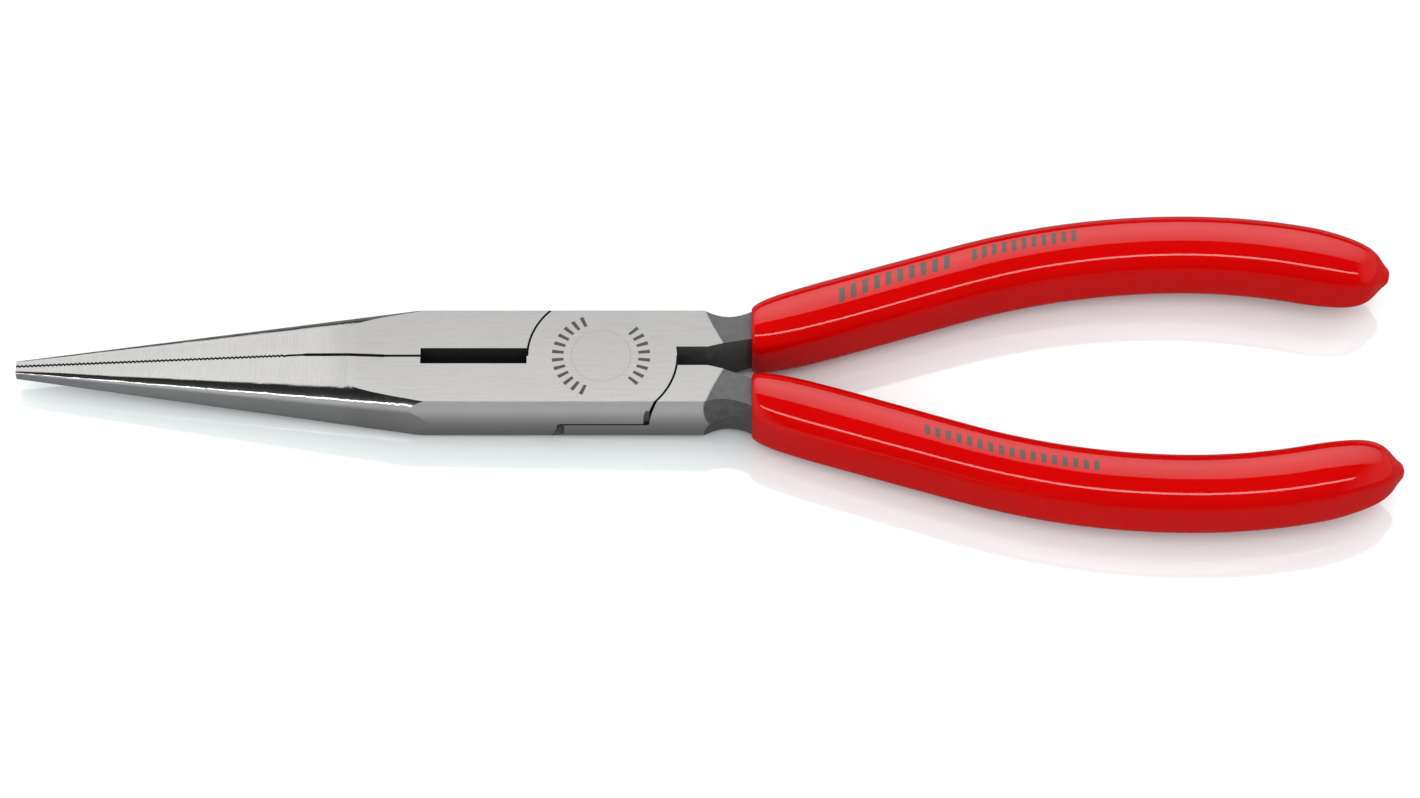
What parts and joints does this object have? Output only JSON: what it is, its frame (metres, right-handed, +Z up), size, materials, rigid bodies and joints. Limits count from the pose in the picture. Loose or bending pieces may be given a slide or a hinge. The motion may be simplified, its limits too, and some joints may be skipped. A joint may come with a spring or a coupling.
{
  "type": "long-nose side-cutting pliers",
  "caption": "Long-nose side-cutting pliers with a tapered toothed beak, lap-joint head, wire cutter slot and bowed handles in dipped glossy plastic.",
  "frame": {"origin": "on the pivot axis, in the plane of the head's flat underside", "axes": "+X along the tool towards the handles, nose at -X; +Y across the jaws; +Z up through the head's thickness, along the pivot axis"},
  "size_m": [0.2001, 0.0496, 0.0115],
  "materials": {
    "ground_steel": "ground and polished faces on the head and beak, dark oiled forging skin on the shanks",
    "rivet_steel": "closed cold and ground flush with the head",
    "dipped_plastic": "glossy red dip coating"
  },
  "bodies": {
    "lower_lever": {"under_half": "ground_steel", "near_grip": "dipped_plastic", "pivot_rivet": "rivet_steel"},
    "upper_lever": {"over_half": "ground_steel", "far_grip": "dipped_plastic"}
  },
  "joints": [
    {"name": "jaw_pivot", "type": "hinge", "parent": "lower_lever", "child": "upper_lever", "pos_m": [0, 0, 0.00475], "axis": [0, 0, 1], "range_deg": [0, 68]}
  ]
}
